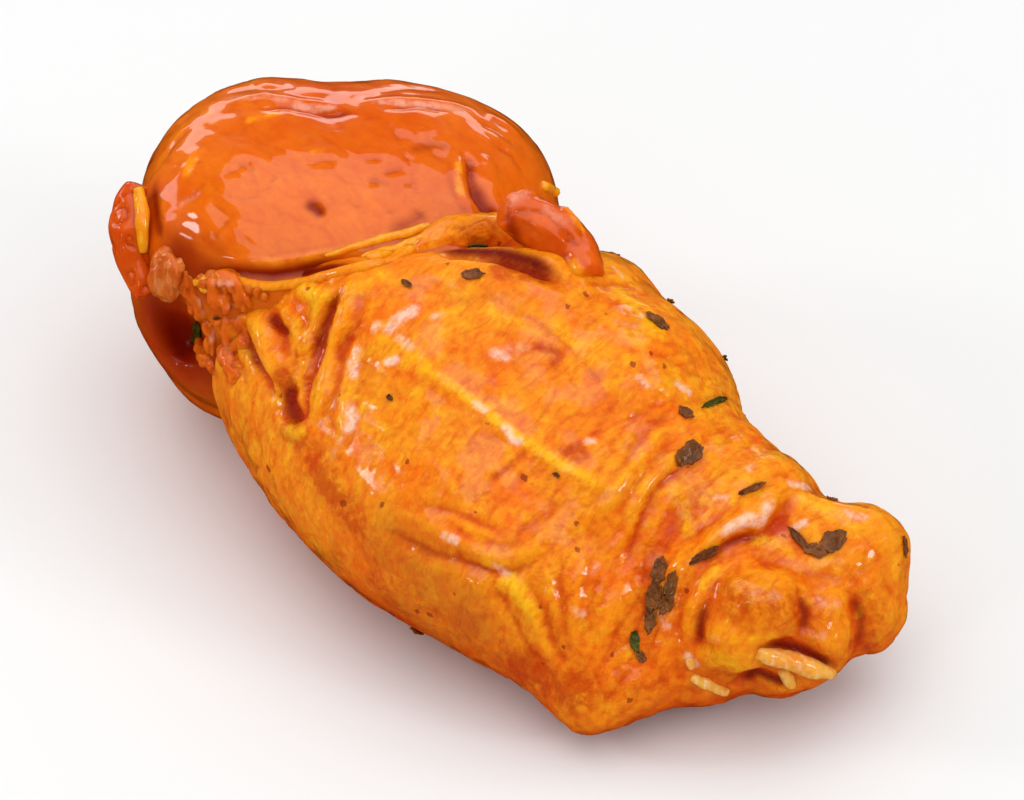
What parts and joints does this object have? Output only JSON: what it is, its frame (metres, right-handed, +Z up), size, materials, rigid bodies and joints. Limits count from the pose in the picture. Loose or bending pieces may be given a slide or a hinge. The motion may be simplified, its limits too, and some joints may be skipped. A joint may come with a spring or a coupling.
{
  "type": "raw chicken wing",
  "caption": "Raw marinated chicken wing drumette lying on its side, with a bare shoulder muscle, a rolled skin edge and a cut elbow knuckle.",
  "frame": {"origin": "on the surface that the meat lies on, under the middle of its box", "axes": "+X along the bone from the shoulder cut to the elbow, +Y across it towards the side that is turned away in the picture, +Z up"},
  "size_m": [0.0808, 0.0412, 0.0327],
  "materials": {
    "marinated_skin": "wet, glossy orange marinade over soft pored skin, with yellow fat showing through",
    "shoulder_meat": "wet, smooth bare muscle stained deep orange-red, with a broad sheen",
    "soft_fat": "soft yellow-orange fat, glossy with marinade",
    "cartilage": "pale cream gristle, wet and slightly see-through",
    "dried_herb": "dark brown-green soaked leaves with a wet shine"
  },
  "bodies": {
    "root": {"wing": "marinated_skin"}
  },
  "joints": []
}
